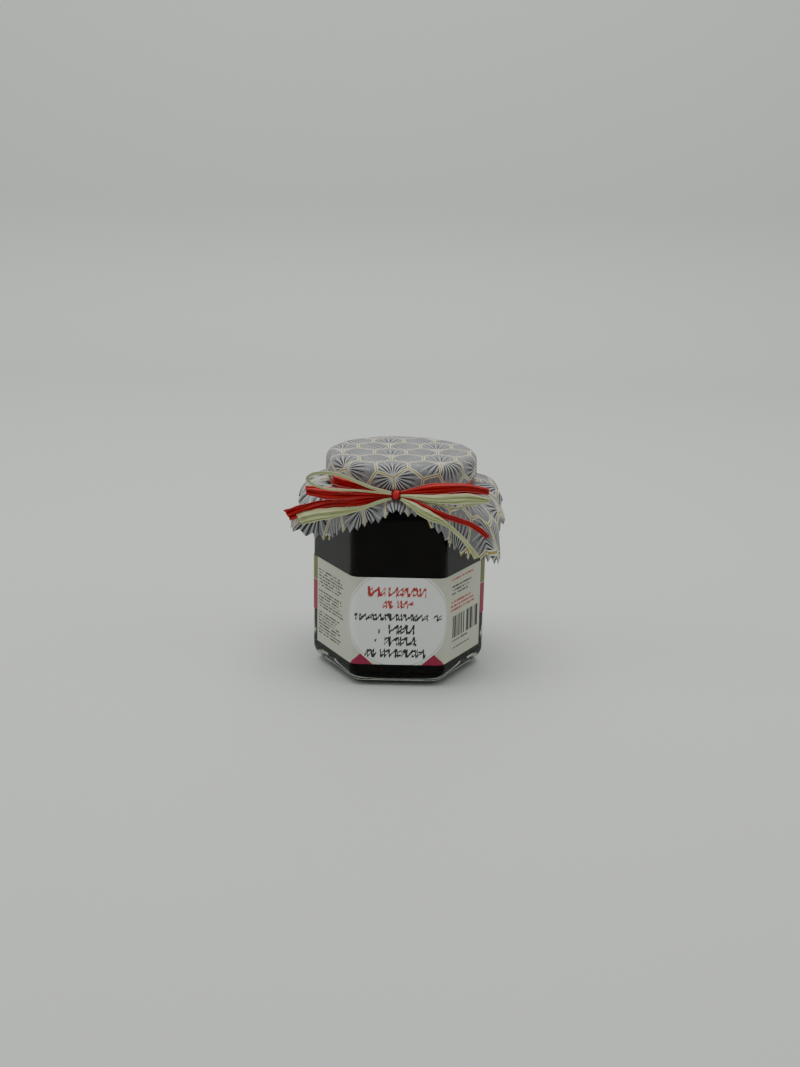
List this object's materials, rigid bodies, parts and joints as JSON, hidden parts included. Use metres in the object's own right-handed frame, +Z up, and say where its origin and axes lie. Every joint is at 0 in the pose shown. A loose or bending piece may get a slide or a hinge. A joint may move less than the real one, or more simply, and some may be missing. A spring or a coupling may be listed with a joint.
{
  "type": "jam jar",
  "caption": "Hexagonal glass jar of dark jam with a paper label, a pinked cloth cover over the lid and a raffia bow.",
  "frame": {"origin": "centre of the jar's base, on the surface that it stands on", "axes": "+Z up through the lid, -Y towards the front panel of the label, +X to the right of it"},
  "size_m": [0.0967, 0.0867, 0.1012],
  "materials": {
    "clear_glass": "clear, smooth",
    "dark_jam": "wet, almost black red",
    "lid_metal": "lacquered",
    "label_paper": "satin printed paper",
    "label_back_paper": "satin printed paper",
    "printed_cotton": "plain weave, printed",
    "red_raffia": "creased flat strip",
    "green_raffia": "crinkled flat strip"
  },
  "bodies": {
    "root": {"jar_glass": "clear_glass", "jam": "dark_jam", "lid": "lid_metal", "label_front": "label_paper", "label_back": "label_back_paper", "cloth_cover": "printed_cotton", "tie_band": "red_raffia", "knot": "red_raffia", "raffia_red_upper": "red_raffia", "raffia_red_middle": "red_raffia", "raffia_red_lower": "red_raffia", "raffia_red_loop": "red_raffia", "raffia_red_tail": "red_raffia", "raffia_green_tail_left": "green_raffia", "raffia_green_loop_right": "green_raffia", "raffia_green_tail_right": "green_raffia", "raffia_green_loop_left": "green_raffia"}
  },
  "joints": []
}
